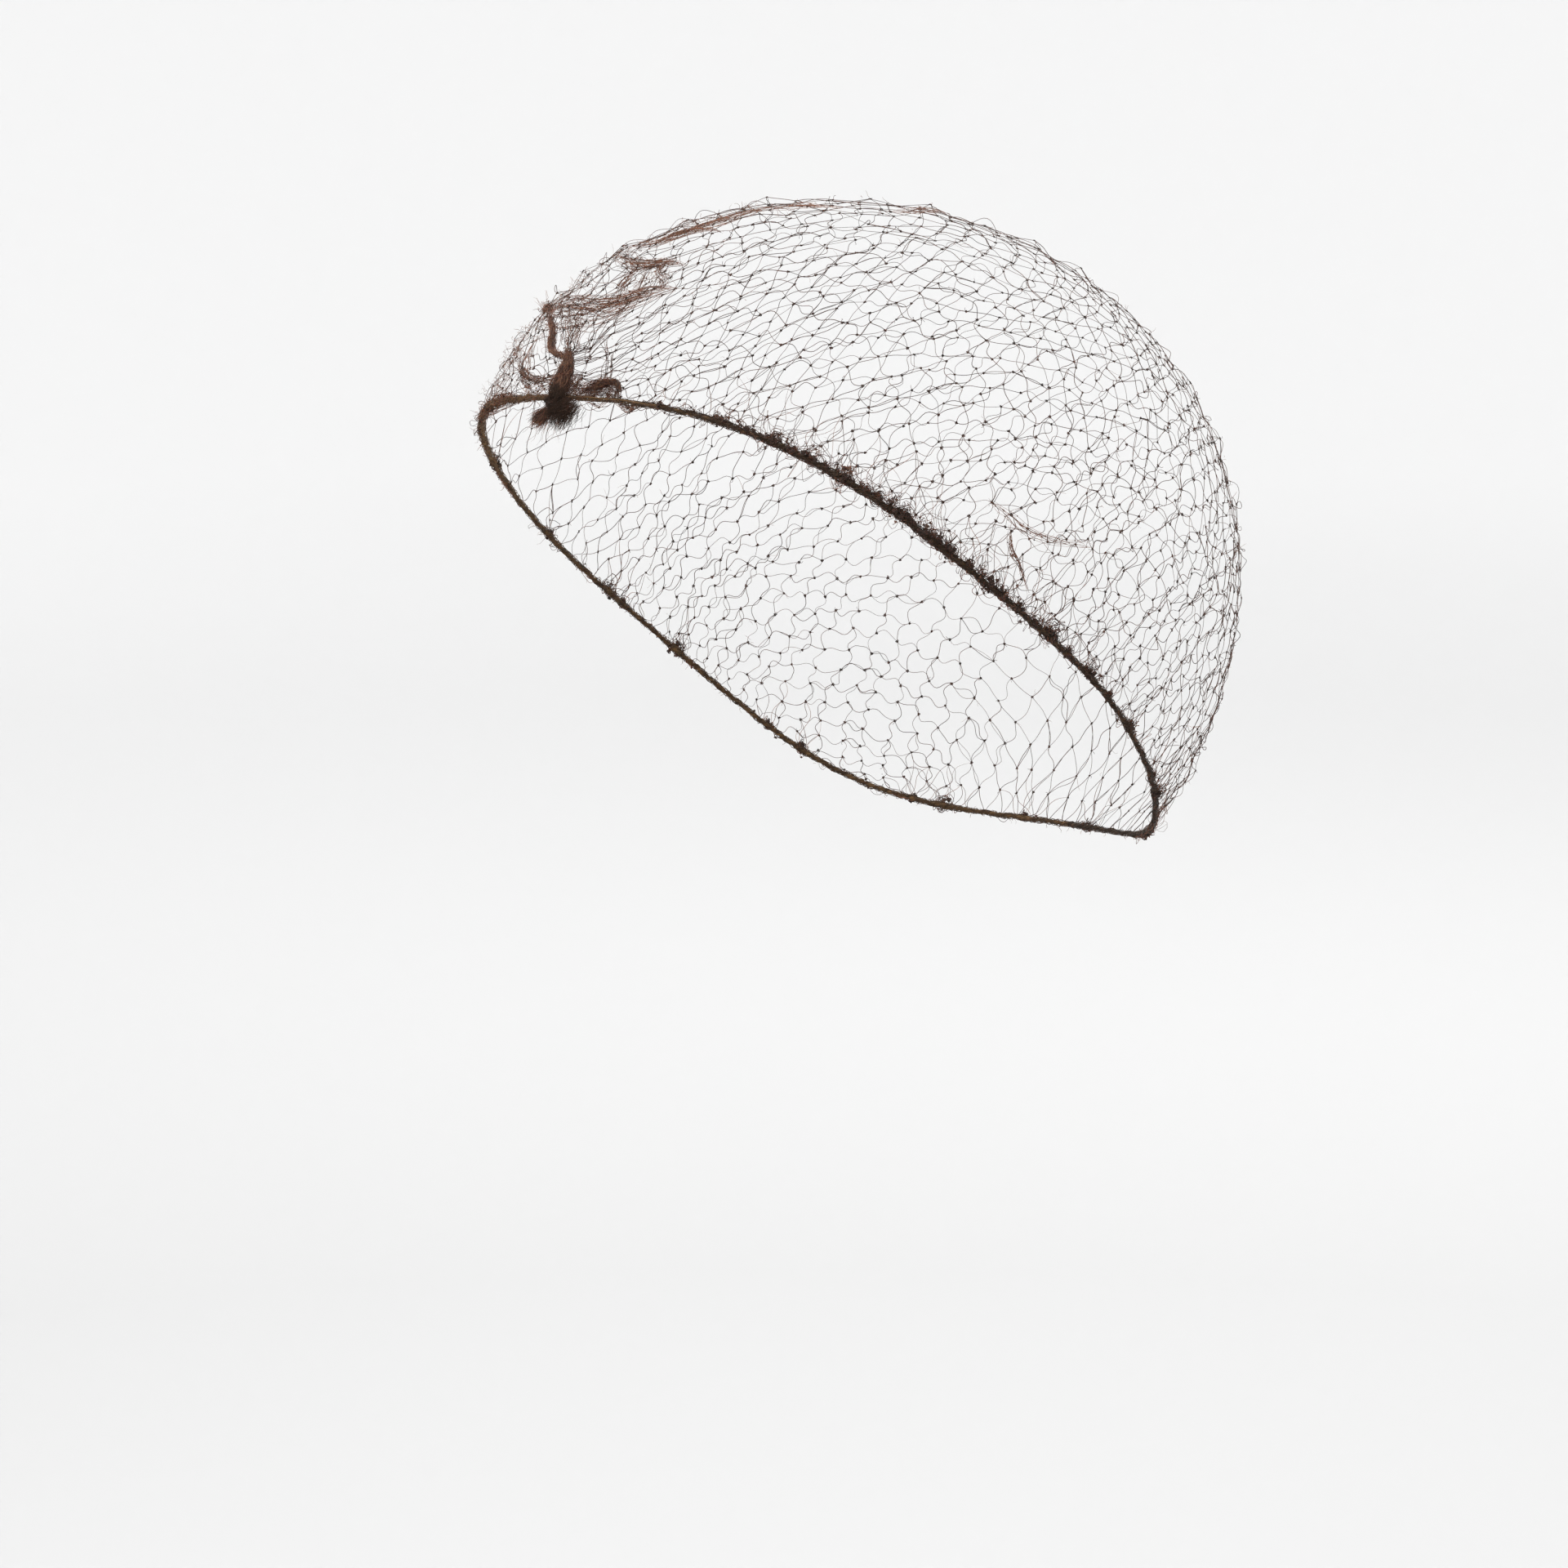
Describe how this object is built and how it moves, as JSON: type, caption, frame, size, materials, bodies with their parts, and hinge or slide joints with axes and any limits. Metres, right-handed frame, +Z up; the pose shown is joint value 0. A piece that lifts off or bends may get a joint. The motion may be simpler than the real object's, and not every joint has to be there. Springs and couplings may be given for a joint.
{
  "type": "hairnet",
  "caption": "Knotted hairnet as worn: a fine diamond net drawn up to a knotted bundle and ruffles at the forehead, on a thin elastic loop round the head.",
  "frame": {"origin": "mount head_seat: the point inside the crown of the net where the wearer's head bears", "axes": "+Z up, -Y towards the wearer's forehead, +X towards the wearer's left; the net is tipped back 20.5 degrees about X, as worn"},
  "size_m": [0.1579, 0.1956, 0.1636],
  "materials": {
    "net_yarn": "fine dark brown yarn, reddish where light comes through it, dull",
    "elastic_cover": "elastic core covered with golden brown yarn, with small glints",
    "knot_yarn": "tight knot of nearly black brown yarn, dull",
    "cut_yarn": "frayed cut ends of brown yarn"
  },
  "bodies": {
    "root": {"net_cap": "net_yarn", "elastic_cord": "elastic_cover", "front_gather": "net_yarn", "side_gather": "net_yarn", "front_knot": "knot_yarn", "front_tuft": "cut_yarn"}
  },
  "joints": []
}
